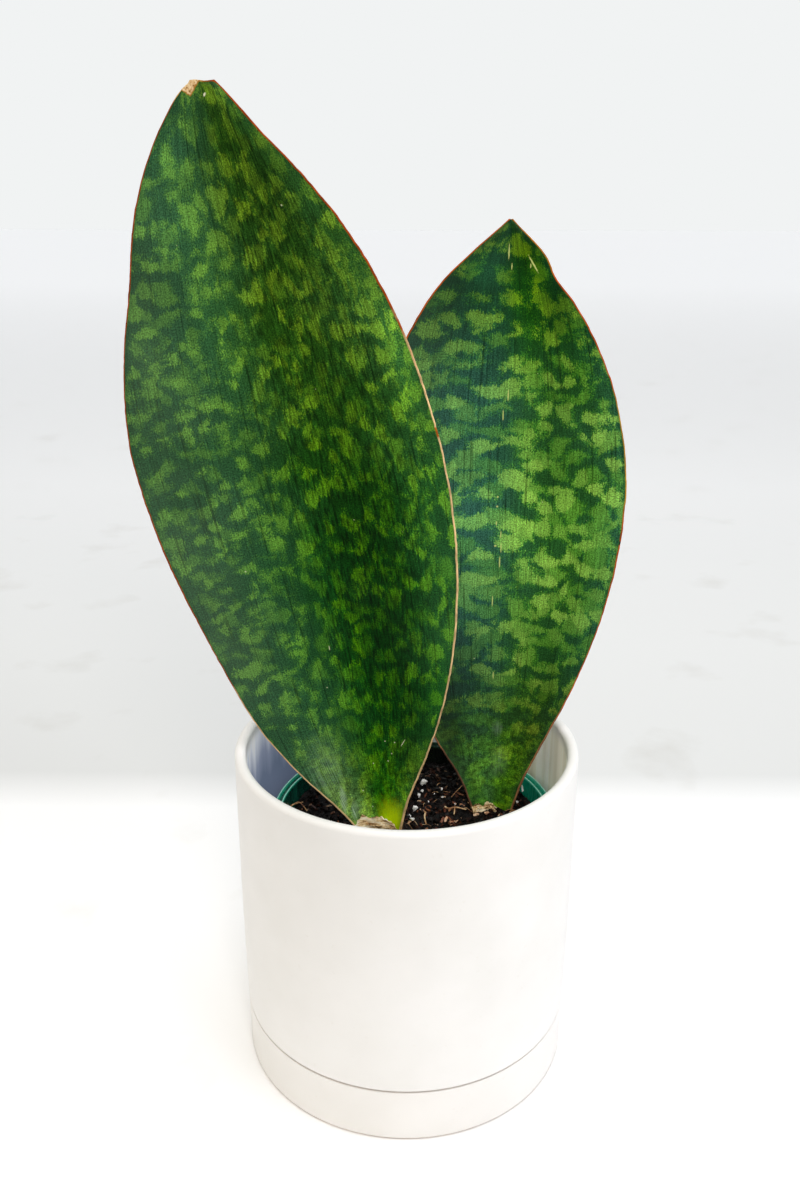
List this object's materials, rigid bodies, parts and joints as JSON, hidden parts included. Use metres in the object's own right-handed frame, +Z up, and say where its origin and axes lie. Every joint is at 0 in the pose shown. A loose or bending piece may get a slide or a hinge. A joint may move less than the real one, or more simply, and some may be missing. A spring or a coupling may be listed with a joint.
{
  "type": "potted shark fin snake plant",
  "caption": "Snake plant with broad paddle-shaped mottled leaves in a plastic grow pot, set in a plain round ceramic planter with its saucer.",
  "frame": {"origin": "centre of the saucer's flat underside, on the table", "axes": "+Z up along the planter's axis, +X to the right as seen from the front of the leaves, +Y towards the back"},
  "size_m": [0.2414, 0.18, 0.4969],
  "materials": {
    "saucer_ceramic": "satin",
    "planter_ceramic": "satin",
    "teal_plastic": "satin",
    "peat_mix": "matte",
    "rhizome_skin": "matte",
    "large_leaf_blade": "satin",
    "small_leaf_blade": "satin",
    "dry_sheath": "matte"
  },
  "bodies": {
    "root": {"saucer": "saucer_ceramic", "outer_pot": "planter_ceramic", "nursery_pot": "teal_plastic", "soil": "peat_mix", "rhizome": "rhizome_skin", "leaf_large": "large_leaf_blade", "leaf_small": "small_leaf_blade", "dry_sheath_large": "dry_sheath", "dry_sheath_small": "dry_sheath"}
  },
  "joints": []
}
